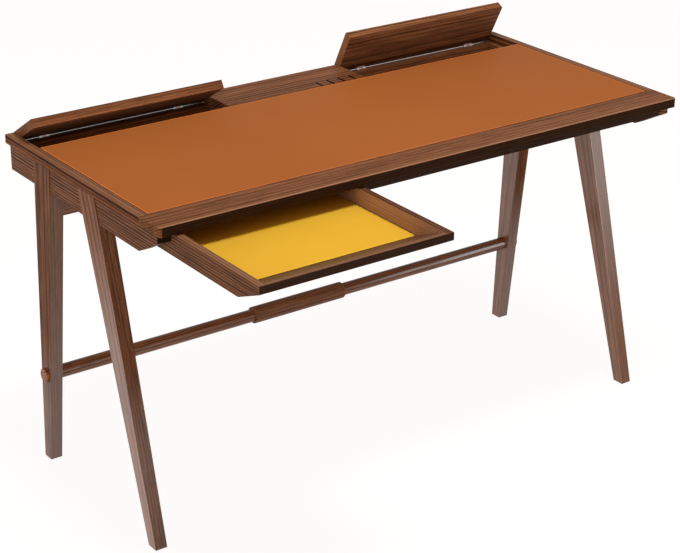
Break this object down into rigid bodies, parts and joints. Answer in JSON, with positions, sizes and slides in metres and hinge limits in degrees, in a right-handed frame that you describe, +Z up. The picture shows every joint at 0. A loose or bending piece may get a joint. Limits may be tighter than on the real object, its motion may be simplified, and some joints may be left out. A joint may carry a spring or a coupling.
{
  "type": "writing desk",
  "caption": "Walnut writing desk with leather writing surface, splayed tapered legs, undercut tray drawers, lift-up rear lids on rod hinges and a round stretcher with a foot-rest sleeve.",
  "frame": {"origin": "on the floor, under the middle of the desk's overall box as it stands at rest, with the left drawer pulled out and both rear lids part open", "axes": "+X to the sitter's right along the long side, +Y from the sitter to the back, +Z up"},
  "size_m": [1.352, 0.9508, 0.8374],
  "materials": {
    "walnut": "satin oiled walnut with straight grain",
    "leather": "smooth tan hide, matte",
    "lining": "thin yellow hide, matte",
    "steel": "plain bright steel",
    "glide": "dark foot glide"
  },
  "bodies": {
    "desk": {"bottom_panel": "walnut", "centre_fascia": "walnut", "centre_panel": "walnut", "compartment_wall": "walnut", "foot_glides": "glide", "leather_inlay": "leather", "left_compartment_end": "walnut", "left_drawer_catch": "walnut", "left_drawer_guides": "walnut", "left_drawer_kickers": "walnut", "left_drawer_stops": "walnut", "left_fixed_hinge_leaves": "steel", "left_front_leg": "walnut", "left_hinge_rod": "steel", "left_partition": "walnut", "left_rear_leg": "walnut", "left_side_apron": "walnut", "rear_apron": "walnut", "rear_cross_rail": "walnut", "right_compartment_end": "walnut", "right_drawer_catch": "walnut", "right_drawer_guides": "walnut", "right_drawer_kickers": "walnut", "right_drawer_stops": "walnut", "right_fixed_hinge_leaves": "steel", "right_front_leg": "walnut", "right_hinge_rod": "steel", "right_partition": "walnut", "right_rear_leg": "walnut", "right_side_apron": "walnut", "stretcher_left_knob": "walnut", "stretcher_right_knob": "walnut", "stretcher_rod": "walnut", "stretcher_sleeve": "walnut", "top_front_rail": "walnut", "top_left_rail": "walnut", "top_right_rail": "walnut", "writing_panel": "walnut"},
    "left_drawer": {"left_drawer_front": "walnut", "left_drawer_left_side": "walnut", "left_drawer_right_side": "walnut", "left_drawer_back": "walnut", "left_drawer_floor": "walnut", "left_drawer_lining": "lining"},
    "right_drawer": {"right_drawer_front": "walnut", "right_drawer_left_side": "walnut", "right_drawer_right_side": "walnut", "right_drawer_back": "walnut", "right_drawer_floor": "walnut", "right_drawer_lining": "lining"},
    "left_lid": {"left_lid": "walnut", "left_lid_hinge_leaves": "steel"},
    "right_lid": {"right_lid": "walnut", "right_lid_hinge_leaves": "steel"}
  },
  "joints": [
    {"name": "left_drawer_slide", "type": "slide", "parent": "desk", "child": "left_drawer", "axis": [0, -1, 0], "range_m": [-0.306, 0.044]},
    {"name": "right_drawer_slide", "type": "slide", "parent": "desk", "child": "right_drawer", "axis": [0, -1, 0], "range_m": [0, 0.35]},
    {"name": "left_lid_hinge", "type": "hinge", "parent": "desk", "child": "left_lid", "pos_m": [-0.42005, 0.45489, 0.7295], "axis": [-1, 0, 0], "range_deg": [-31.5, 68.5]},
    {"name": "right_lid_hinge", "type": "hinge", "parent": "desk", "child": "right_lid", "pos_m": [0.42285, 0.45489, 0.7295], "axis": [-1, 0, 0], "range_deg": [-62.5, 37.5]}
  ]
}
